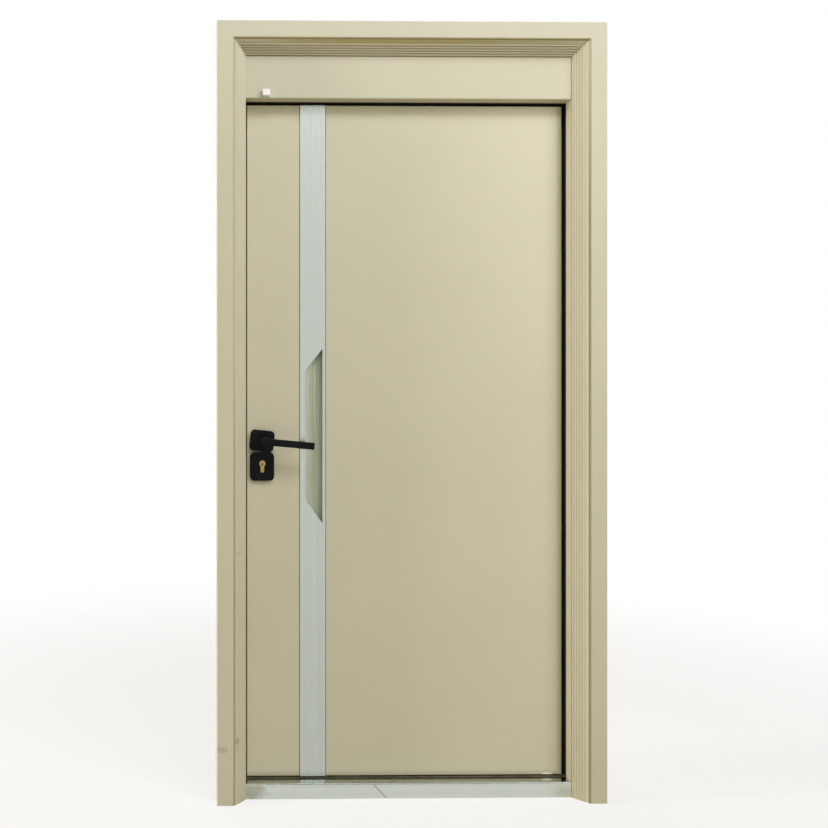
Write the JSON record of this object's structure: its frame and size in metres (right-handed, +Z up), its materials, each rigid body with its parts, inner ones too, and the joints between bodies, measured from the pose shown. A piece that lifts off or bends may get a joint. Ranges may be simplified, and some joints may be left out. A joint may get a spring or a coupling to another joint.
{
  "type": "steel entrance door with frame",
  "caption": "Beige steel entrance door in its frame with a reeded casing, a brushed full-height strip with a pull pocket, lever handle, profile cylinder lock and stainless threshold.",
  "frame": {"origin": "floor level, middle of the width and of the folded frame's depth, under the sill's base bar", "axes": "+X to the right seen from outside, +Y inwards through the doorway, +Z up"},
  "size_m": [1.05, 0.21, 2.1],
  "materials": {
    "painted_steel": "satin beige paint",
    "bare_steel": "zinc-plated",
    "hinge_steel": "satin beige paint",
    "polished_steel": "polished stainless steel",
    "brushed_strip": "brushed stainless steel",
    "black_rubber": "matt black rubber",
    "black_alloy": "satin black coating",
    "brass": "dull machined brass",
    "white_plastic": "matt white plastic",
    "mineral_wool": "pressed mineral wool"
  },
  "bodies": {
    "frame": {"lock_jamb": "painted_steel", "hinge_jamb": "painted_steel", "frame_head": "painted_steel", "casing_lock_side": "painted_steel", "casing_hinge_side": "painted_steel", "casing_head": "painted_steel", "sill_base": "bare_steel", "strike_plate": "bare_steel", "strike_screws": "bare_steel", "hinge_pins": "bare_steel", "hinge_washers": "bare_steel", "hinge_frame_screws": "bare_steel", "hinge_frame_half_1": "hinge_steel", "hinge_frame_half_2": "hinge_steel", "hinge_frame_half_3": "hinge_steel", "threshold": "polished_steel", "seal_lock_side": "black_rubber", "seal_hinge_side": "black_rubber", "seal_head": "black_rubber", "seal_sill": "black_rubber", "contact_block": "white_plastic"},
    "handle": {"outer_lever": "black_alloy", "inner_lever": "black_alloy", "spindle": "bare_steel", "lock_hub": "bare_steel"},
    "latch": {"latch_bolt": "bare_steel"},
    "cylinder_core": {"outer_plug": "brass", "cylinder_cam": "brass", "thumb_turn": "brass"},
    "deadbolts": {"deadbolts": "bare_steel", "bolt_carriage": "bare_steel"},
    "leaf": {"outer_skin": "painted_steel", "inner_skin": "painted_steel", "lock_stile": "bare_steel", "hinge_stile": "bare_steel", "stiffener_1": "bare_steel", "stiffener_2": "bare_steel", "insulation_centre": "mineral_wool", "insulation_hinge_side": "mineral_wool", "insulation_lock_side": "mineral_wool", "decor_strip": "brushed_strip", "pull_pocket": "brushed_strip", "outer_rose": "black_alloy", "inner_rose": "black_alloy", "outer_escutcheon": "black_alloy", "inner_escutcheon": "black_alloy", "through_bolts": "bare_steel", "lock_case": "bare_steel", "lock_cover": "bare_steel", "lock_faceplate": "bare_steel", "faceplate_screws": "bare_steel", "cylinder_screw": "bare_steel", "cylinder_body": "brass", "latch_spring": "bare_steel", "hinge_leaf_screws": "bare_steel", "hinge_leaf_half_1": "hinge_steel", "hinge_leaf_half_2": "hinge_steel", "hinge_leaf_half_3": "hinge_steel"}
  },
  "joints": [
    {"name": "leaf_swing", "type": "hinge", "parent": "frame", "child": "leaf", "pos_m": [0.46175, 0.0655, 0], "axis": [0, 0, -1], "range_deg": [0, 100]},
    {"name": "lever_turn", "type": "hinge", "parent": "leaf", "child": "handle", "pos_m": [-0.397, 0.029, 0.972], "axis": [0, 1, 0], "range_deg": [0, 40], "stiffness_Nm_per_rad": 0.9, "springref_deg": -40.11},
    {"name": "latch_slide", "type": "slide", "parent": "leaf", "child": "latch", "axis": [1, 0, 0], "range_m": [0, 0.014], "deforming": ["latch_spring"]},
    {"name": "cylinder_turn", "type": "hinge", "parent": "leaf", "child": "cylinder_core", "pos_m": [-0.397, 0.029, 0.9095], "axis": [0, -1, 0], "range_deg": [0, 360]},
    {"name": "deadbolt_throw", "type": "slide", "parent": "leaf", "child": "deadbolts", "axis": [-1, 0, 0], "range_m": [0, 0.02]}
  ],
  "couplings": [
    {"joint": "latch_slide", "follows": "lever_turn", "m_per_rad": 0.020052},
    {"joint": "cylinder_turn", "follows": "deadbolt_throw", "rad_per_m": 314.16}
  ]
}
